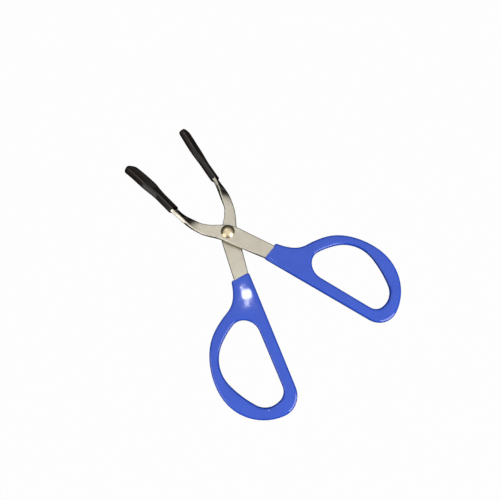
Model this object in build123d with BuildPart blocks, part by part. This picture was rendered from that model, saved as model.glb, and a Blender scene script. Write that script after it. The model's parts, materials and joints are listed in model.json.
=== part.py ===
from build123d import *
import math
import os

# Scissor-type print tongs: two flat stamped arms crossing on one rivet, each with a
# dipped finger loop behind the pivot and a rubber-sleeved twisted blade in front of it.
# Units are millimetres. +Z is up, +Y runs toward the rubber tips, X is across the loops.
# The pose is the open one. The left jaw and the right loop belong to the upper arm.

os.makedirs("parts", exist_ok=True)

# --- where the pivot stands -------------------------------------------------------------
pivot_y = 12.838          # pivot axis in front of the middle of the overall length
mid_z = 8.714             # height of the plane half way between the two arms

# --- steel arms -------------------------------------------------------------------------
plate = 2.8               # thickness of the stamped steel
arm_space = 1.5           # free height between the two plates, filled by the pivot washer
edge_round = 0.6          # rounded edges of the plate
arm_width = 10.3          # width of the arm where it enters the grip
neck_width = 7.4          # width where the flat part ends and the twist begins
strip_width = 6.4         # width of the twisted strip
blade_width = 9.4         # width of the flattened blade inside the rubber sleeve

# --- dipped grips -----------------------------------------------------------------------
coat_side = 0.9           # coating thickness seen from above
coat_face = 0.65          # coating thickness on the flat faces
grip_round = 1.45         # rounded edge of the coated loop
corner_round = 1.6        # rounded corners at the front of the coating

# --- jaws -------------------------------------------------------------------------------
upper_twist = 60.0        # how far the upper arm's strip is turned
lower_twist = 70.0        # how far the lower arm's strip is turned
sleeve_wide = 13.0        # width of the rubber paddle
sleeve_thick = 6.2        # thickness of the rubber paddle
sleeve_neck_wide = 8.2    # width of the sleeve's narrow rear part
sleeve_neck_thick = 5.5   # thickness of the sleeve's narrow rear part
sleeve_round = 2.3        # rounded corners of the sleeve section

# --- pivot ------------------------------------------------------------------------------
shank_d = 5.0             # rivet shank
head_d = 9.1              # domed head on the upper side
head_h = 2.3
tail_d = 8.2              # formed tail on the lower side
tail_h = 1.4
washer_d = 10.4           # washer under the formed tail
washer_h = 0.8
spacer_d = 11.2           # washer between the two arms
running_gap = 0.05        # radial and axial play of the turning arm

lower_z0 = mid_z - arm_space / 2 - plate
upper_z0 = mid_z + arm_space / 2


def place(points, side):
    """Outline points about the pivot, mirrored for the other arm and moved to the frame."""
    return [(side * x, y + pivot_y) for x, y in points]


def turn(vectors, side):
    """Directions mirrored for the other arm."""
    return [(side * x, y) for x, y in vectors]


# Outline of one coated loop, for the arm whose loop is at +X, about the pivot.
collar_inner = (6.0, -28.2)
collar_outer = (18.9, -25.8)
bar_end = (30.57, -101.8)
loop_outer = [collar_outer, (25.4, -35.4), (33.5, -39.7), (45.0, -43.0), (57.5, -52.0),
              (67.2, -73.0), (62.5, -95.0), (45.5, -107.8), bar_end]
outer_way = (0.40, -0.92)
hole_bar = [(37.27, -99.0), (25.45, -61.5)]
loop_inner = [(25.45, -61.5), (29.0, -49.9), (36.0, -48.3), (48.5, -53.0), (59.4, -74.0),
              (54.5, -92.5), (44.5, -99.6), (37.27, -99.0)]
bar_round = 12.0          # bend at the foot of the straight bar, outside
hole_round = 7.0          # bend at the foot of the straight bar, inside


def heading(start, end):
    """Unit direction from one outline point to another."""
    length = math.hypot(end[0] - start[0], end[1] - start[1])
    return ((end[0] - start[0]) / length, (end[1] - start[1]) / length)


def arc_chain(points, way, side):
    """Arcs through the points, each one tangent to the arc before it."""
    spots = place(points, side)
    direction = (side * way[0], way[1])
    for start, end in zip(spots, spots[1:]):
        arc = TangentArc(start, end, tangent=direction)
        leaving = arc % 1
        direction = (leaving.X, leaving.Y)


def grip_outline(side):
    """Flat face of one coated loop with its D-shaped finger opening."""
    with BuildSketch(Plane.XY) as face:
        with BuildLine():
            Line(place([collar_inner, collar_outer], side))
            arc_chain(loop_outer, outer_way, side)
            Line(place([bar_end, collar_inner], side))
        make_face()
        fillet([v for v in face.vertices() if v.Y > pivot_y - 28.5], radius=corner_round)
        foot = face.vertices().sort_by_distance((side * bar_end[0], bar_end[1] + pivot_y))[0]
        fillet(foot, radius=bar_round)
        with BuildSketch(Plane.XY, mode=Mode.SUBTRACT) as hole:
            with BuildLine():
                Line(place(hole_bar, side))
                arc_chain(loop_inner, heading(hole_bar[0], hole_bar[1]), side)
            make_face()
            foot = hole.vertices().sort_by_distance((side * hole_bar[0][0], hole_bar[0][1] + pivot_y))[0]
            fillet(foot, radius=hole_round)
    return face.sketch


def arm_outline(side):
    """Flat part of one arm from inside the coating to the start of the twist."""
    with BuildSketch(Plane.XY) as face:
        with BuildLine():
            Line(place([(9.4, -34.0), (-6.4, -1.8)], side))
            Spline(place([(-6.4, -1.8), (-10.6, 4.6), (-14.24, 10.21)], side),
                   tangents=turn([(-0.44, 0.90), (-0.48, 0.88)], side))
            Line(place([(-14.24, 10.21), (-7.76, 13.79)], side))
            Spline(place([(-7.76, 13.79), (-5.6, 11.2), (-0.6, 7.1), (4.0, 2.6), (7.0, -2.2)], side),
                   tangents=turn([(0.48, -0.88), (0.40, -0.92)], side))
            Line(place([(7.0, -2.2), (19.6, -33.0)], side))
            Line(place([(19.6, -33.0), (9.4, -34.0)], side))
        make_face()
    return face.sketch


def smooth(start, end, y):
    """Eased share from 0 to 1 between two stations along Y."""
    u = min(1.0, max(0.0, (y - start) / (end - start)))
    return u * u * (3 - 2 * u)


def jaw_frame(path, index, twist, twist_span, side, z):
    """Plane across the jaw at one station: its X runs along the blade width."""
    x, y = path[index]
    ahead = path[min(index + 1, len(path) - 1)]
    back = path[max(index - 1, 0)]
    if index == 0:
        ahead, back = (x + 0.484, y + 0.875), (x, y)
    dx = -side * (ahead[0] - back[0])
    dy = ahead[1] - back[1]
    length = math.hypot(dx, dy)
    dx, dy = dx / length, dy / length
    angle = math.radians(twist * smooth(twist_span[0], twist_span[1], y))
    across = Vector(-dy * math.cos(angle), dx * math.cos(angle), math.sin(angle))
    origin = Vector(-side * x, y + pivot_y, z)
    return Plane(origin=origin, x_dir=across, z_dir=Vector(dx, dy, 0))


# Middle line of each jaw about the pivot, given on the positive side of X.
upper_path = [(11.0, 12.0), (13.0, 15.8), (14.5, 20.0), (15.9, 25.0), (16.9, 30.0),
              (17.6, 35.0), (18.4, 44.0), (18.8, 52.0), (19.5, 60.0), (20.7, 68.0), (21.7, 76.0)]
lower_path = [(11.0, 12.0), (13.2, 15.8), (14.9, 20.5), (16.4, 25.5), (17.6, 30.5),
              (18.6, 36.0), (19.7, 45.0), (20.6, 53.0), (21.7, 61.0), (23.1, 69.0), (24.4, 77.5)]
upper_span = (12.0, 30.0)
lower_span = (14.0, 37.0)


def blade(path, twist, span, side, z):
    """Twisted strip and the flattened blade it becomes inside the sleeve."""
    widths = [neck_width] + [strip_width] * 6 + [strip_width + 0.8] + [blade_width] * 3
    with BuildPart() as strip:
        for first in (0, 5):
            for index in range(first, 6 if first == 0 else len(path)):
                with BuildSketch(jaw_frame(path, index, twist, span, side, z)):
                    RectangleRounded(widths[index], plate, edge_round)
            loft()
    return strip.part


def sleeve(path, start, end, twist, span, side, z):
    """Closed rubber sleeve: narrow at its mouth, a wide paddle in front, rounded at the tip."""
    axis = path[5:]
    stations = [(start, sleeve_neck_wide, sleeve_neck_thick), (start + 8.0, sleeve_neck_wide, sleeve_neck_thick),
                (start + 16.0, 8.8, 5.6), (start + 25.0, 12.7, 6.1), (start + 34.0, sleeve_wide, sleeve_thick),
                (end - 4.2, 12.4, 6.0), (end - 1.6, 10.6, 5.2), (end, 6.4, 3.0)]
    with BuildPart() as rubber:
        for y, wide, thick in stations:
            spot = along(axis, y)
            ahead = along(axis, y + 0.5)
            local = [spot, ahead]
            frame = jaw_frame_at(local, twist, span, side, z)
            with BuildSketch(frame):
                RectangleRounded(wide, thick, min(sleeve_round, thick * 0.42))
        loft()
    return rubber.part


def along(axis, y):
    """Point of the jaw's middle line at a given distance in front of the pivot."""
    for (x0, y0), (x1, y1) in zip(axis, axis[1:]):
        if y <= y1:
            break
    return (x0 + (x1 - x0) * (y - y0) / (y1 - y0), y)


def jaw_frame_at(local, twist, span, side, z):
    """Plane across the jaw between two neighbouring points of its middle line."""
    (x0, y0), (x1, y1) = local
    dx, dy = -side * (x1 - x0), y1 - y0
    length = math.hypot(dx, dy)
    dx, dy = dx / length, dy / length
    angle = math.radians(twist * smooth(span[0], span[1], y0))
    across = Vector(-dy * math.cos(angle), dx * math.cos(angle), math.sin(angle))
    return Plane(origin=Vector(-side * x0, y0 + pivot_y, z), x_dir=across, z_dir=Vector(dx, dy, 0))


def arm_plate(side, z0):
    """Flat stamping of one arm with the loop that runs inside the coating."""
    with BuildPart() as flat:
        with BuildSketch(Plane.XY.offset(z0)):
            add(arm_outline(side))
        extrude(amount=plate)
        rims = [e for e in flat.edges() if abs(e.center().Z - z0 - plate / 2) > 0.49 * plate]
        rims = [e for e in rims if pivot_y - 33.0 < e.center().Y < pivot_y + 11.9]
        fillet(rims, radius=edge_round)
        with BuildSketch(Plane.XY.offset(z0)):
            offset(grip_outline(side), amount=-coat_side)
        extrude(amount=plate)
    return flat.part


def coated_grip(side, z0, steel):
    """Dipped coating of one loop with rounded edges, fitted round the steel."""
    with BuildPart() as coat:
        with BuildSketch(Plane.XY.offset(z0 - coat_face)):
            add(grip_outline(side))
        extrude(amount=plate + 2 * coat_face)
        rims = [e for e in coat.edges() if abs(e.center().Z - z0 - plate / 2) > 0.49 * plate]
        fillet(rims, radius=grip_round)
        add(steel, mode=Mode.SUBTRACT)
    return coat


def pivot_hole(z0, diameter):
    """Cutter for the rivet hole of one plate."""
    with BuildPart() as hole:
        with BuildSketch(Plane(origin=(0, pivot_y, z0 - 1.0))):
            Circle(diameter / 2)
        extrude(amount=plate + 2.0)
    return hole.part


# --- upper arm: left jaw, right loop, free to turn on the rivet ----------------------------
with BuildPart() as upper_arm:
    add(arm_plate(1, upper_z0))
    add(blade(upper_path, upper_twist, upper_span, 1, upper_z0 + plate / 2))
    add(pivot_hole(upper_z0, shank_d + 2 * running_gap), mode=Mode.SUBTRACT)
upper_arm.part.label = "upper_arm"
export_step(upper_arm.part, "parts/upper_arm.step")

upper_grip = coated_grip(1, upper_z0, upper_arm.part)
upper_grip.part.label = "upper_grip"
export_step(upper_grip.part, "parts/upper_grip.step")

with BuildPart() as left_sleeve:
    add(sleeve(upper_path, 35.5, 81.0, upper_twist, upper_span, 1, upper_z0 + plate / 2))
    add(upper_arm.part, mode=Mode.SUBTRACT)
left_sleeve.part.label = "left_sleeve"
export_step(left_sleeve.part, "parts/left_sleeve.step")

# --- lower arm: right jaw, left loop, holds the rivet --------------------------------------
with BuildPart() as lower_arm:
    add(arm_plate(-1, lower_z0))
    add(blade(lower_path, lower_twist, lower_span, -1, lower_z0 + plate / 2))
    add(pivot_hole(lower_z0, shank_d), mode=Mode.SUBTRACT)
lower_arm.part.label = "lower_arm"
export_step(lower_arm.part, "parts/lower_arm.step")

lower_grip = coated_grip(-1, lower_z0, lower_arm.part)
lower_grip.part.label = "lower_grip"
export_step(lower_grip.part, "parts/lower_grip.step")

with BuildPart() as right_sleeve:
    add(sleeve(lower_path, 37.3, 82.4, lower_twist, lower_span, -1, lower_z0 + plate / 2))
    add(lower_arm.part, mode=Mode.SUBTRACT)
right_sleeve.part.label = "right_sleeve"
export_step(right_sleeve.part, "parts/right_sleeve.step")

# --- rivet with a domed head above and a formed tail below ----------------------------------
head_z0 = upper_z0 + plate + running_gap
tail_z1 = lower_z0 - washer_h
dome_h = head_h - 0.4
dome_r = (dome_h ** 2 + (head_d / 2) ** 2) / (2 * dome_h)
dome_angle = math.asin(head_d / 2 / dome_r)
dome_mid = (dome_r * math.sin(dome_angle / 2), head_z0 + head_h - dome_r + dome_r * math.cos(dome_angle / 2))
with BuildPart() as pivot_rivet:
    with BuildSketch(Plane.XZ.offset(-pivot_y)):
        with BuildLine():
            Polyline((0, head_z0 + head_h), (0, tail_z1 - tail_h), (tail_d / 2 - 1.1, tail_z1 - tail_h),
                     (tail_d / 2, tail_z1 - 0.4), (tail_d / 2, tail_z1), (shank_d / 2, tail_z1),
                     (shank_d / 2, head_z0), (head_d / 2, head_z0), (head_d / 2, head_z0 + 0.4))
            ThreePointArc((head_d / 2, head_z0 + 0.4), dome_mid, (0, head_z0 + head_h))
        make_face()
    revolve(axis=Axis((0, pivot_y, 0), (0, 0, 1)), revolution_arc=360)
pivot_rivet.part.label = "pivot_rivet"
export_step(pivot_rivet.part, "parts/pivot_rivet.step")

# --- washer under the tail -------------------------------------------------------------------
with BuildPart() as tail_washer:
    with BuildSketch(Plane(origin=(0, pivot_y, lower_z0 - washer_h))):
        Circle(washer_d / 2)
        Circle(shank_d / 2, mode=Mode.SUBTRACT)
    extrude(amount=washer_h)
tail_washer.part.label = "tail_washer"
export_step(tail_washer.part, "parts/tail_washer.step")

# --- washer between the arms -----------------------------------------------------------------
with BuildPart() as pivot_washer:
    with BuildSketch(Plane(origin=(0, pivot_y, lower_z0 + plate))):
        Circle(spacer_d / 2)
        Circle(shank_d / 2, mode=Mode.SUBTRACT)
    extrude(amount=arm_space - running_gap)
pivot_washer.part.label = "pivot_washer"
export_step(pivot_washer.part, "parts/pivot_washer.step")
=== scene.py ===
import json
import math

import bpy
import numpy as np
from mathutils import Matrix, Vector


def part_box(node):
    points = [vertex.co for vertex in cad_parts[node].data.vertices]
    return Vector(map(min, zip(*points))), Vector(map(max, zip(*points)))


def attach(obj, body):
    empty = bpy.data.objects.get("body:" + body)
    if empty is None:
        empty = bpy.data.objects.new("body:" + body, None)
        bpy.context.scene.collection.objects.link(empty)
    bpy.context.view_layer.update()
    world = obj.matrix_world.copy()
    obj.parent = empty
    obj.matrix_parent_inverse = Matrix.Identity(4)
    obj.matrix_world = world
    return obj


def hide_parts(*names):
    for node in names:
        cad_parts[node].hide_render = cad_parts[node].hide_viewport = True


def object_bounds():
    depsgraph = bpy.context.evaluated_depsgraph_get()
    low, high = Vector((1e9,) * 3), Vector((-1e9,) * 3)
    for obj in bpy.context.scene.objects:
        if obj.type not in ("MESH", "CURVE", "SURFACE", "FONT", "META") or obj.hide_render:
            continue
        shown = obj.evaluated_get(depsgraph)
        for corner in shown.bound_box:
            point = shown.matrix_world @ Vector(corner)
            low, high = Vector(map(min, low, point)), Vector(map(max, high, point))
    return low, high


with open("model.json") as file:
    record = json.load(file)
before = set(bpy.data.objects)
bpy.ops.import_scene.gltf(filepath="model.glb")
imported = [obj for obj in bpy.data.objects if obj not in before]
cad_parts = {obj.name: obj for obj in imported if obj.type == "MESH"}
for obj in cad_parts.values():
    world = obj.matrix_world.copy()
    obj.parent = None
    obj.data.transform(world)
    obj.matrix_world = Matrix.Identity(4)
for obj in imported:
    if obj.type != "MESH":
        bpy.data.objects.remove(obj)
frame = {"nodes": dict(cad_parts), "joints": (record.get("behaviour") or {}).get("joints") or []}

bl_info = {
    "name": "Print Tongs Finish",
    "version": (1, 0, 0),
    "blender": (4, 5, 0),
    "location": "View3D > Sidebar > Print Tongs",
    "description": "Dresses the print tongs: ribbed rubber sleeves, dipped vinyl grips, plated steel arms and a polished rivet",
    "category": "Object",
}

MM = 0.001
PIVOT = Vector(frame["joints"][0]["pos_m"])
CAD_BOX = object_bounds()

# Skins laid over CAD nodes: cell of the voxel remesh in mm, and smoothing passes.
GRIP_SKIN = (0.42, 40)
ARM_SKIN = (0.36, 2)

# The sleeves, in mm unless said otherwise.
SUPERELLIPSE = 3.4        # exponent of the cross-section
COLUMNS = 144             # points round one row
SHOULDER = (13.0, 27.0)   # distances from the mouth between which the neck grows to the paddle
RIBS_START = (17.5, 21.0) # distances from the mouth over which the ribs deepen
RIBS_END = (3.2, 1.0)     # distances from the tip over which the ribs fade
TIP_WIDE = 4.4            # length of the tip's rounding, across the width
TIP_THICK = 3.0           # length of the tip's rounding, across the thickness

# Mouth of a sleeve from inside the slot to the outer face: distance from the mouth, half width, half thickness.
LIP = [(3.0, 3.28, 1.5), (2.2, 3.3, 1.52), (1.4, 3.32, 1.55), (0.8, 3.36, 1.62), (0.35, 3.42, 1.75),
       (0.1, 3.5, 1.92), (0.0, 3.62, 2.15), (0.0, 3.75, 2.36), (0.08, 3.9, 2.56), (0.3, 4.0, 2.66)]
LIP_NECK = (8.1, 5.4)     # neck width and thickness that the lip rows are written for

# Area lamps: name, position in m, side in m, power as a multiple of the lamp setting.
LAMPS = [
    ("key_softbox", (0.068, 0.082, 0.80), 0.022, 0.5),
    ("rear_softbox", (0.10, -0.42, 0.30), 0.30, 13),
    ("front_softbox", (0.03, 0.52, 0.75), 0.26, 2.5),
    ("left_softbox", (-0.30, 0.02, 0.16), 0.26, 3),
]
FLOOR_SIDE = 1.6          # half side of the floor, in m
FLOOR_WHITE = 0.985       # share of plain white in the floor as the camera sees it
FLOOR_GLOSSY = 0.03       # how much of that white reflections see

# Middle line of each jaw inside its sleeve: distance beside and in front of the pivot, in mm.
# The left jaw belongs to the upper arm, the right one to the lower arm.
JAWS = {
    "left_sleeve": {
        "body": "upper", "grip": "upper_grip", "side": -1.0, "twist": 60.0, "start": 35.5, "end": 81.0,
        "line": [(17.6, 35.0), (18.4, 44.0), (18.8, 52.0), (19.5, 60.0), (20.7, 68.0), (21.7, 76.0)],
    },
    "right_sleeve": {
        "body": "lower", "grip": "lower_grip", "side": 1.0, "twist": 70.0, "start": 37.3, "end": 82.4,
        "line": [(18.6, 36.0), (19.7, 45.0), (20.6, 53.0), (21.7, 61.0), (23.1, 69.0), (24.4, 77.5)],
    },
}


# --- small tools ----------------------------------------------------------------------------

def linear(colour):
    """sRGB hex such as "C2BCAB", or an sRGB colour property, as linear RGBA."""
    if isinstance(colour, str):
        values = [int(colour[i:i + 2], 16) / 255 for i in (0, 2, 4)]
    else:
        values = list(colour)[:3]
    return [v / 12.92 if v <= 0.04045 else ((v + 0.055) / 1.055) ** 2.4 for v in values] + [1.0]


def srgb(colour):
    """sRGB hex as three values from 0 to 1, for a colour property's default."""
    return tuple(int(colour[i:i + 2], 16) / 255 for i in (0, 2, 4))


def node(tree, kind, links=(), **settings):
    """Adds a node, sets its attributes, or its inputs where the name starts with in_, and links its inputs."""
    made = tree.nodes.new(kind)
    for name, value in settings.items():
        if name.startswith("in_"):
            key = name[3:]
            made.inputs[int(key) if key.isdigit() else key.replace("_", " ")].default_value = value
        else:
            setattr(made, name, value)
    for target, source in dict(links).items():
        tree.links.new(source, made.inputs[target])
    return made


def new_material(name):
    """Material with an empty node tree and its output node."""
    made = bpy.data.materials.new(name)
    made.use_nodes = True
    made.node_tree.nodes.clear()
    return made, made.node_tree, node(made.node_tree, "ShaderNodeOutputMaterial")


def ramp(tree, source, stops, interpolation="LINEAR"):
    """Colour ramp with stops as (position, linear RGBA)."""
    made = node(tree, "ShaderNodeValToRGB", {"Fac": source})
    bar = made.color_ramp
    bar.interpolation = interpolation
    while len(bar.elements) < len(stops):
        bar.elements.new(0.5)
    for element, (position, colour) in zip(bar.elements, stops):
        element.position = position
        element.color = colour
    return made


def grid_mesh(name, points, close_start=True, close_end=True):
    """Mesh of a closed tube from points of shape (rows, columns, 3); each end is closed by a fan to its middle."""
    rows, columns = points.shape[:2]
    index = np.arange(rows * columns).reshape(rows, columns)
    right = np.roll(index, -1, axis=1)
    quads = np.stack([index[:-1], right[:-1], right[1:], index[1:]], -1).reshape(-1, 4)
    verts = points.reshape(-1, 3)
    faces = quads.tolist()
    for closed, row, flip in ((close_start, 0, False), (close_end, rows - 1, True)):
        if closed:
            centre = len(verts)
            verts = np.vstack([verts, points[row].mean(0)])
            a, b = index[row], right[row]
            fan = np.stack([np.full(columns, centre), a, b] if flip else [np.full(columns, centre), b, a], -1)
            faces += fan.tolist()
    mesh = bpy.data.meshes.new(name)
    mesh.from_pydata(verts.tolist(), [], faces)
    mesh.polygons.foreach_set("use_smooth", np.ones(len(mesh.polygons), bool))
    mesh.update()
    return mesh


def outward(mesh):
    """Turns a closed mesh the right way out, by the sign of its volume."""
    mesh.calc_loop_triangles()
    tri = np.zeros(len(mesh.loop_triangles) * 3, np.int32)
    mesh.loop_triangles.foreach_get("vertices", tri)
    co = np.zeros(len(mesh.vertices) * 3)
    mesh.vertices.foreach_get("co", co)
    a, b, c = (co.reshape(-1, 3)[tri.reshape(-1, 3)[:, i]] for i in range(3))
    if (a * np.cross(b, c)).sum() < 0:
        mesh.flip_normals()
    mesh.update()


def add_piece(name, mesh, body, material):
    """Links a finished piece that rides on a CAD body."""
    piece = bpy.data.objects.new(name, mesh)
    bpy.context.scene.collection.objects.link(piece)
    piece.data.materials.append(material)
    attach(piece, body)
    return piece


def smoothstep(low, high, x):
    """Eased share from 0 at low to 1 at high."""
    u = np.clip((x - low) / (high - low), 0, 1)
    return u * u * (3 - 2 * u)


# --- settings a user would change -------------------------------------------------------------

class PrintTongsSleeves(bpy.types.PropertyGroup):
    wide: bpy.props.FloatProperty(name="Paddle width",
                                  description="Width of the sleeve's front part, in mm",
                                  default=13.3, min=10, max=15)
    thick: bpy.props.FloatProperty(name="Paddle thickness",
                                   description="Thickness of the sleeve's front part, in mm",
                                   default=6.1, min=5, max=7)
    neck_wide: bpy.props.FloatProperty(name="Neck width",
                                       description="Width of the sleeve's rear part, in mm",
                                       default=8.1, min=7, max=10)
    neck_thick: bpy.props.FloatProperty(name="Neck thickness",
                                        description="Thickness of the sleeve's rear part, in mm",
                                        default=5.4, min=4.6, max=6.5)
    ribs: bpy.props.IntProperty(name="Ribs",
                                description="Lengthwise ribs on the outer face of the paddle",
                                default=7, min=3, max=11)
    rib_height: bpy.props.FloatProperty(name="Rib depth",
                                        description="Depth of the grooves between the ribs, in mm",
                                        default=0.6, min=0, max=0.8)
    colour: bpy.props.FloatVectorProperty(name="Rubber colour",
                                          description="Colour of the rubber, sRGB",
                                          subtype="COLOR_GAMMA", default=srgb("1B1510"), min=0, max=1)


class PrintTongsGrips(bpy.types.PropertyGroup):
    colour: bpy.props.FloatVectorProperty(name="Vinyl colour",
                                          description="Colour of the dipped coating, sRGB",
                                          subtype="COLOR_GAMMA", default=srgb("2850C4"), min=0, max=1)
    gloss: bpy.props.FloatProperty(name="Roughness",
                                   description="Roughness of the coating",
                                   default=0.08, min=0.02, max=0.6)


class PrintTongsSteel(bpy.types.PropertyGroup):
    colour: bpy.props.FloatVectorProperty(name="Plating colour",
                                          description="Colour of the plated steel, sRGB",
                                          subtype="COLOR_GAMMA", default=srgb("CDC7B8"), min=0, max=1)
    grain: bpy.props.FloatProperty(name="Grain",
                                   description="Spacing of the satin grain, in mm",
                                   default=0.35, min=0.1, max=2)


class PrintTongsRivet(bpy.types.PropertyGroup):
    colour: bpy.props.FloatVectorProperty(name="Rivet colour",
                                          description="Colour of the rivet, sRGB",
                                          subtype="COLOR_GAMMA", default=srgb("E6D6B4"), min=0, max=1)


class PrintTongsStage(bpy.types.PropertyGroup):
    floor: bpy.props.FloatVectorProperty(name="Floor colour",
                                         description="Colour of the floor, sRGB",
                                         subtype="COLOR_GAMMA", default=srgb("404040"), min=0, max=1)
    lamp: bpy.props.FloatProperty(name="Lamp power",
                                  description="Power that all four lamps are multiples of, in watts",
                                  default=0.12, min=0.01, max=50)


# --- materials --------------------------------------------------------------------------------

def nickel_plated_steel(settings):
    """Cold-rolled steel, blanked, tumbled and nickel plated: an even satin face, brighter rolled edges."""
    made, tree, out = new_material("nickel_plated_steel")
    place = node(tree, "ShaderNodeTexCoord")
    spacing = 1.0 / (settings.grain * MM)
    grain = node(tree, "ShaderNodeTexNoise", {"Vector": place.outputs["Object"]}, in_Scale=spacing, in_Detail=3.0)
    clouds = node(tree, "ShaderNodeTexNoise", {"Vector": place.outputs["Object"]},
                  in_Scale=1.0 / (9 * MM), in_Detail=2.0)
    r, g, b, _ = linear(settings.colour)
    tint = ramp(tree, clouds.outputs["Fac"],
                [(0.3, (r * 0.94, g * 0.93, b * 0.92, 1)), (0.7, (r * 1.05, g * 1.05, b * 1.04, 1))])
    facing = node(tree, "ShaderNodeSeparateXYZ", {"Vector": place.outputs["Normal"]})
    up = node(tree, "ShaderNodeMath", {0: facing.outputs["Z"]}, operation="ABSOLUTE")
    edge = node(tree, "ShaderNodeMapRange", {"Value": up.outputs[0]}, in_From_Min=0.86, in_From_Max=0.995)
    rough = node(tree, "ShaderNodeMapRange", {"Value": edge.outputs[0]}, in_To_Min=0.13, in_To_Max=0.42)
    bump = node(tree, "ShaderNodeBump", {"Height": grain.outputs["Fac"]}, in_Strength=0.05, in_Distance=0.05 * MM)
    shader = node(tree, "ShaderNodeBsdfPrincipled",
                  {"Base Color": tint.outputs["Color"], "Roughness": rough.outputs[0], "Normal": bump.outputs[0]}, in_Metallic=1.0)
    tree.links.new(shader.outputs[0], out.inputs[0])
    return made


def dipped_vinyl(settings):
    """Plastisol vinyl, dipped and oven cured: a thick glossy skin with a faint waviness of a few millimetres."""
    made, tree, out = new_material("dipped_vinyl")
    place = node(tree, "ShaderNodeTexCoord")
    waves = node(tree, "ShaderNodeTexNoise", {"Vector": place.outputs["Object"]},
                 in_Scale=1.0 / (11 * MM), in_Detail=1.0)
    pores = node(tree, "ShaderNodeTexNoise", {"Vector": place.outputs["Object"]},
                 in_Scale=1.0 / (1.4 * MM), in_Detail=2.0)
    r, g, b, _ = linear(settings.colour)
    tint = ramp(tree, waves.outputs["Fac"],
                [(0.3, (r * 0.93, g * 0.94, b * 0.96, 1)), (0.7, (r * 1.06, g * 1.06, b * 1.03, 1))])
    soft = node(tree, "ShaderNodeBump", {"Height": waves.outputs["Fac"]}, in_Strength=0.5, in_Distance=0.25 * MM)
    bump = node(tree, "ShaderNodeBump", {"Height": pores.outputs["Fac"], "Normal": soft.outputs[0]},
                in_Strength=0.02, in_Distance=0.03 * MM)
    shader = node(tree, "ShaderNodeBsdfPrincipled", {"Base Color": tint.outputs["Color"], "Normal": bump.outputs[0]},
                  in_Roughness=settings.gloss, in_IOR=1.5)
    shader.inputs["Coat Weight"].default_value = 0.2
    shader.inputs["Coat Roughness"].default_value = 0.05
    tree.links.new(shader.outputs[0], out.inputs[0])
    return made


def moulded_rubber(settings):
    """Compression-moulded black rubber: brownish black with a soft sheen and a very fine matte grain."""
    made, tree, out = new_material("moulded_rubber")
    place = node(tree, "ShaderNodeTexCoord")
    clouds = node(tree, "ShaderNodeTexNoise", {"Vector": place.outputs["Object"]},
                  in_Scale=1.0 / (6 * MM), in_Detail=2.0)
    grain = node(tree, "ShaderNodeTexNoise", {"Vector": place.outputs["Object"]},
                 in_Scale=1.0 / (0.5 * MM), in_Detail=3.0)
    r, g, b, _ = linear(settings.colour)
    tint = ramp(tree, clouds.outputs["Fac"],
                [(0.3, (r * 0.8, g * 0.8, b * 0.8, 1)), (0.7, (r * 1.25, g * 1.2, b * 1.15, 1))])
    rough = node(tree, "ShaderNodeMapRange", {"Value": clouds.outputs["Fac"]},
                 in_From_Min=0.3, in_From_Max=0.7, in_To_Min=0.17, in_To_Max=0.25)
    bump = node(tree, "ShaderNodeBump", {"Height": grain.outputs["Fac"]}, in_Strength=0.03, in_Distance=0.04 * MM)
    shader = node(tree, "ShaderNodeBsdfPrincipled",
                  {"Base Color": tint.outputs["Color"], "Roughness": rough.outputs[0], "Normal": bump.outputs[0]}, in_IOR=1.52)
    shader.inputs["Specular IOR Level"].default_value = 0.4
    tree.links.new(shader.outputs[0], out.inputs[0])
    return made


def polished_rivet(settings):
    """Turned rivet with a warm flash of brass plating, headed and polished: a mirror with faint tool marks."""
    made, tree, out = new_material("brass_flashed_rivet")
    place = node(tree, "ShaderNodeTexCoord")
    marks = node(tree, "ShaderNodeTexNoise", {"Vector": place.outputs["Object"]},
                 in_Scale=1.0 / (2.2 * MM), in_Detail=2.0)
    r, g, b, _ = linear(settings.colour)
    tint = ramp(tree, marks.outputs["Fac"], [(0.3, (r * 0.86, g * 0.82, b * 0.74, 1)), (0.7, (r, g, b, 1))])
    bump = node(tree, "ShaderNodeBump", {"Height": marks.outputs["Fac"]}, in_Strength=0.10, in_Distance=0.08 * MM)
    shader = node(tree, "ShaderNodeBsdfPrincipled", {"Base Color": tint.outputs["Color"], "Normal": bump.outputs[0]},
                  in_Metallic=1.0, in_Roughness=0.30)
    tree.links.new(shader.outputs[0], out.inputs[0])
    return made


def natural_nylon():
    """Moulded natural nylon: off-white, slightly translucent, a matte skin."""
    made, tree, out = new_material("natural_nylon")
    place = node(tree, "ShaderNodeTexCoord")
    grain = node(tree, "ShaderNodeTexNoise", {"Vector": place.outputs["Object"]},
                 in_Scale=1.0 / (0.8 * MM), in_Detail=2.0)
    tint = ramp(tree, grain.outputs["Fac"], [(0.3, linear("D6D3C8")), (0.7, linear("E4E1D8"))])
    shader = node(tree, "ShaderNodeBsdfPrincipled", {"Base Color": tint.outputs["Color"]},
                  in_Roughness=0.5, in_IOR=1.53)
    tree.links.new(shader.outputs[0], out.inputs[0])
    return made


def dress(names, material):
    """Gives CAD nodes their finish."""
    for name in names:
        mesh = frame["nodes"][name].data
        mesh.materials.clear()
        mesh.materials.append(material)


def soften(name, cell, passes):
    """Even skin over a CAD node: a voxel remesh of the given cell in mm, then smoothing passes that round its rims."""
    skin = frame["nodes"][name].modifiers.new("skin", "REMESH")
    skin.mode = "VOXEL"
    skin.voxel_size = cell * MM
    skin.use_smooth_shade = True
    relax = frame["nodes"][name].modifiers.new("relax", "SMOOTH")
    relax.factor = 0.5
    relax.iterations = passes


# --- the rubber sleeves -------------------------------------------------------------------------

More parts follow.
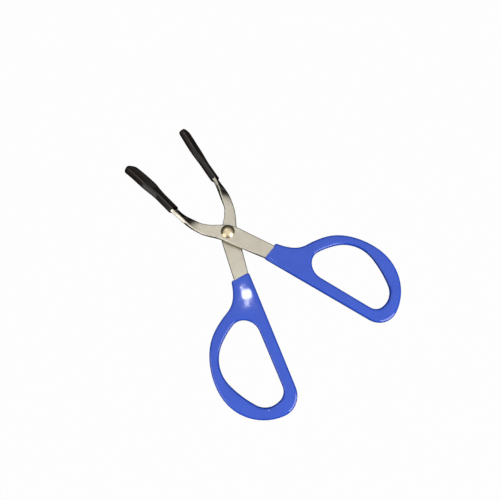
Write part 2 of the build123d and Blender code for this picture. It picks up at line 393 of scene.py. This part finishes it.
def sleeve_surface(jaw, settings):
    """Points of one sleeve, rows along the jaw and columns round it, in metres.

    Each row is a superellipse, |u/a|^3.4 + |v/b|^3.4 = 1, across the jaw's middle line, turned by the
    jaw's twist. Half width a and half thickness b ease from the neck to the paddle and close at the tip
    as a rounded end. The outer face carries cosine grooves side by side. At the mouth the rows roll over
    a rounded lip and go back in along the slot that holds the steel strip.
    """
    line = np.array(jaw["line"])
    curve = np.polyfit(line[:, 1], line[:, 0], 3)
    start, end = jaw["start"], jaw["end"]
    length = end - start
    s = np.concatenate([np.linspace(0.55, length - 8, 90), length - 8 * (1 - np.sin(np.linspace(0, np.pi / 2, 30)))[1:]])
    s[-1] = length - 0.02
    grow = smoothstep(*SHOULDER, s)
    half_wide = (settings.neck_wide + (settings.wide - settings.neck_wide) * grow) / 2
    half_wide = half_wide - 0.35 * smoothstep(30.0, length - 3, s)
    half_thick = (settings.neck_thick + (settings.thick - settings.neck_thick) * grow) / 2
    cap = np.clip((s - (length - TIP_WIDE)) / TIP_WIDE, 0, 1)
    half_wide = half_wide * np.maximum(1 - cap ** 2.6, 0.0) ** (1 / 2.0)
    cap = np.clip((s - (length - TIP_THICK)) / TIP_THICK, 0, 1)
    half_thick = half_thick * np.maximum(1 - cap ** 2.2, 0.0) ** (1 / 2.2)
    # lip and slot rows at the mouth, from the inside out
    lip_s, lip_a, lip_b = np.array(LIP).T
    s = np.concatenate([lip_s, s])
    half_wide = np.concatenate([lip_a * settings.neck_wide / LIP_NECK[0], half_wide])
    half_thick = np.concatenate([lip_b * settings.neck_thick / LIP_NECK[1], half_thick])
    y = start + s
    x = np.polyval(curve, y)
    slope = np.polyval(np.polyder(curve), y)
    along = np.stack([jaw["side"] * slope, np.ones_like(y)], -1)
    along /= np.linalg.norm(along, axis=1, keepdims=True)
    twist = math.radians(jaw["twist"])
    across = np.stack([-along[:, 1] * math.cos(twist), along[:, 0] * math.cos(twist), np.full_like(y, math.sin(twist))], -1)
    forward = np.concatenate([along, np.zeros((len(y), 1))], 1)
    normal = np.cross(forward, across)
    t = np.linspace(0, 2 * np.pi, COLUMNS, endpoint=False)
    cos_t, sin_t = np.cos(t)[None], np.sin(t)[None]
    a, b = half_wide[:, None], half_thick[:, None]
    a, b = np.maximum(a, 0.02), np.maximum(b, 0.02)
    radius = (np.abs(cos_t / a) ** SUPERELLIPSE + np.abs(sin_t / b) ** SUPERELLIPSE) ** (-1 / SUPERELLIPSE)
    u, v = radius * cos_t, radius * sin_t
    pitch = settings.wide * 0.86 / settings.ribs
    groove = 0.5 - 0.5 * np.cos(2 * np.pi * u / pitch)
    band = smoothstep(*RIBS_START, s)[:, None] * (1 - smoothstep(length - RIBS_END[0], length - RIBS_END[1], s))[:, None]
    inside = 1 - smoothstep(settings.wide * 0.40, settings.wide * 0.46, np.abs(u))
    on_face = smoothstep(0.55, 0.8, v / b)
    v = v - settings.rib_height * groove * band * inside * on_face
    centre = np.stack([jaw["side"] * x, y, np.zeros_like(y)], -1)
    points = centre[:, None] + u[..., None] * across[:, None] + v[..., None] * normal[:, None]
    low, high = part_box(jaw["grip"])
    base = np.array([PIVOT.x, PIVOT.y, (low.z + high.z) / 2])
    return points * MM + base


class PRINTTONGS_OT_sleeves(bpy.types.Operator):
    """Makes the two rubber sleeves with their lips and ribs"""
    bl_idname = "print_tongs.sleeves"
    bl_label = "Rubber Sleeves"

    def execute(self, context):
        settings = context.scene.print_tongs_sleeves
        rubber = moulded_rubber(settings)
        for name, jaw in JAWS.items():
            mesh = grid_mesh("ribbed_" + name, sleeve_surface(jaw, settings))
            outward(mesh)
            piece = add_piece("ribbed_" + name, mesh, jaw["body"], rubber)
            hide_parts(name)
        return {"FINISHED"}


class PRINTTONGS_OT_grips(bpy.types.Operator):
    """Finishes the dipped vinyl grips"""
    bl_idname = "print_tongs.grips"
    bl_label = "Dipped Grips"

    def execute(self, context):
        dress(["upper_grip", "lower_grip"], dipped_vinyl(context.scene.print_tongs_grips))
        for name in ("upper_grip", "lower_grip"):
            soften(name, *GRIP_SKIN)
        return {"FINISHED"}


class PRINTTONGS_OT_steel(bpy.types.Operator):
    """Finishes the plated steel arms"""
    bl_idname = "print_tongs.steel"
    bl_label = "Steel Arms"

    def execute(self, context):
        dress(["upper_arm", "lower_arm", "tail_washer"], nickel_plated_steel(context.scene.print_tongs_steel))
        for name in ("upper_arm", "lower_arm"):
            soften(name, *ARM_SKIN)
        return {"FINISHED"}


class PRINTTONGS_OT_rivet(bpy.types.Operator):
    """Finishes the rivet and the spacer washer"""
    bl_idname = "print_tongs.rivet"
    bl_label = "Rivet and Spacer"

    def execute(self, context):
        dress(["pivot_rivet"], polished_rivet(context.scene.print_tongs_rivet))
        dress(["pivot_washer"], natural_nylon())
        return {"FINISHED"}


class PRINTTONGS_OT_stage(bpy.types.Operator):
    """Sets up the white floor, four area lamps, a world that darkens towards the horizon, and the camera"""
    bl_idname = "print_tongs.stage"
    bl_label = "Stage"

    def execute(self, context):
        settings = context.scene.print_tongs_stage
        scene = context.scene
        side = FLOOR_SIDE
        mesh = bpy.data.meshes.new("floor")
        mesh.from_pydata([(-side, -side, 0), (side, -side, 0), (side, side, 0), (-side, side, 0)], [], [(0, 1, 2, 3)])
        floor = bpy.data.objects.new("floor", mesh)
        floor.location.z = CAD_BOX[0].z - 0.1 * MM
        scene.collection.objects.link(floor)
        made, tree, out = new_material("matte_paper_sweep")
        plain = node(tree, "ShaderNodeBsdfDiffuse", in_Color=linear(settings.floor))
        white = node(tree, "ShaderNodeEmission", in_Color=(1, 1, 1, 1), in_Strength=1.0)
        light = node(tree, "ShaderNodeLightPath")
        glossy = node(tree, "ShaderNodeMath", {0: light.outputs["Is Glossy Ray"]}, operation="MULTIPLY",
                      in_1=FLOOR_GLOSSY)
        seen = node(tree, "ShaderNodeMath", {0: light.outputs["Is Camera Ray"], 1: glossy.outputs[0]}, operation="MAXIMUM")
        seen = node(tree, "ShaderNodeMath", {0: seen.outputs[0], 1: light.outputs["Is Transmission Ray"]}, operation="MAXIMUM")
        share = node(tree, "ShaderNodeMath", {0: seen.outputs[0]}, operation="MULTIPLY", in_1=FLOOR_WHITE)
        mixed = node(tree, "ShaderNodeMixShader", {0: share.outputs[0], 1: plain.outputs[0], 2: white.outputs[0]})
        tree.links.new(mixed.outputs[0], out.inputs[0])
        mesh.materials.append(made)

        world = bpy.data.worlds.new("studio")
        scene.world = world
        world.use_nodes = True
        tree = world.node_tree
        tree.nodes.clear()
        out = node(tree, "ShaderNodeOutputWorld")
        place = node(tree, "ShaderNodeTexCoord")
        parts = node(tree, "ShaderNodeSeparateXYZ", {"Vector": place.outputs["Generated"]})
        height = node(tree, "ShaderNodeMapRange", {"Value": parts.outputs["Z"]}, in_From_Min=0.05, in_From_Max=0.85)
        tone = ramp(tree, height.outputs[0],
                    [(0.0, (0.01, 0.01, 0.01, 1)), (0.55, (0.10, 0.10, 0.10, 1)), (1.0, (0.98, 0.98, 0.98, 1))])
        sky = node(tree, "ShaderNodeBackground", {"Color": tone.outputs["Color"]}, in_Strength=0.95)
        white = node(tree, "ShaderNodeBackground", in_Color=(1, 1, 1, 1), in_Strength=1.0)
        light = node(tree, "ShaderNodeLightPath")
        mixed = node(tree, "ShaderNodeMixShader", {0: light.outputs["Is Camera Ray"], 1: sky.outputs[0], 2: white.outputs[0]})
        tree.links.new(mixed.outputs[0], out.inputs[0])

        for name, spot, size, power in LAMPS:
            lamp = bpy.data.lights.new(name, "AREA")
            lamp.shape = "SQUARE"
            lamp.size = size
            lamp.energy = settings.lamp * power
            holder = bpy.data.objects.new(name, lamp)
            holder.location = spot
            holder.rotation_euler = (-Vector(spot)).to_track_quat("-Z", "Y").to_euler()
            scene.collection.objects.link(holder)

        # dark card on the floor between and beside the jaws: a painted dark reflection that stands in for the shade
        # under the jaws; only the polished metal sees it
        low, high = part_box("left_sleeve")[0].y - 24 * MM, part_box("right_sleeve")[1].y - 40 * MM
        mesh = bpy.data.meshes.new("dark_reflection_card")
        level = CAD_BOX[0].z - 0.05 * MM
        mesh.from_pydata([(-0.017, low, level), (0.040, low, level), (0.040, high, level), (-0.017, high, level)], [], [(0, 1, 2, 3)])
        flag = bpy.data.objects.new("dark_reflection_card", mesh)
        scene.collection.objects.link(flag)
        # painted dark reflection: a near-black diffuse sheet that only glossy rays see
        made, tree, out = new_material("painted_dark_reflection")
        dark_reflection_shader = node(tree, "ShaderNodeBsdfDiffuse", in_Color=(0.01, 0.01, 0.012, 1))
        tree.links.new(dark_reflection_shader.outputs[0], out.inputs[0])
        mesh.materials.append(made)
        flag.visible_camera = flag.visible_diffuse = flag.visible_shadow = flag.visible_transmission = False

        camera = bpy.data.cameras.new("camera")
        camera.lens = 27.0
        camera.sensor_width = 36.0
        camera.clip_start, camera.clip_end = 0.005, 10.0
        camera.dof.use_dof = False
        holder = bpy.data.objects.new("camera", camera)
        right = Vector((0.7633, -0.6461, 0.0)).normalized()
        ahead = Vector((0.1863, 0.2201, -0.9575)).normalized()
        right = (right - ahead * right.dot(ahead)).normalized()
        above = right.cross(ahead)
        holder.matrix_world = Matrix.Translation(PIVOT + Vector((-41.97, -72.10, 234.59)) * MM) @ Matrix(
            ((right.x, above.x, -ahead.x), (right.y, above.y, -ahead.y), (right.z, above.z, -ahead.z))).to_4x4()
        scene.collection.objects.link(holder)
        scene.camera = holder
        scene.view_settings.view_transform = "Standard"
        return {"FINISHED"}


class PRINTTONGS_PT_panel(bpy.types.Panel):
    """Lists the steps that dress the tongs"""
    bl_idname = "PRINTTONGS_PT_panel"
    bl_label = "Print Tongs"
    bl_space_type = "VIEW_3D"
    bl_region_type = "UI"
    bl_category = "Print Tongs"

    def draw(self, context):
        for operator in OPERATORS:
            self.layout.operator(operator.bl_idname)
        for name, _ in SETTINGS:
            group = getattr(context.scene, name)
            for field in group.__annotations__:
                self.layout.prop(group, field)


OPERATORS = (PRINTTONGS_OT_steel, PRINTTONGS_OT_grips, PRINTTONGS_OT_rivet, PRINTTONGS_OT_sleeves, PRINTTONGS_OT_stage)
SETTINGS = (("print_tongs_sleeves", PrintTongsSleeves), ("print_tongs_grips", PrintTongsGrips),
            ("print_tongs_steel", PrintTongsSteel), ("print_tongs_rivet", PrintTongsRivet),
            ("print_tongs_stage", PrintTongsStage))


def register():
    for name, group in SETTINGS:
        bpy.utils.register_class(group)
        setattr(bpy.types.Scene, name, bpy.props.PointerProperty(type=group))
    for cls in OPERATORS + (PRINTTONGS_PT_panel,):
        bpy.utils.register_class(cls)


def unregister():
    for cls in (PRINTTONGS_PT_panel,) + OPERATORS:
        bpy.utils.unregister_class(cls)
    for name, group in SETTINGS:
        delattr(bpy.types.Scene, name)
        bpy.utils.unregister_class(group)


def main():
    """Registers the add-on and dresses the tongs step by step."""
    register()
    bpy.ops.print_tongs.steel()
    bpy.ops.print_tongs.grips()
    bpy.ops.print_tongs.rivet()
    bpy.ops.print_tongs.sleeves()
    bpy.ops.print_tongs.stage()


if __name__ == "__main__":
    main()
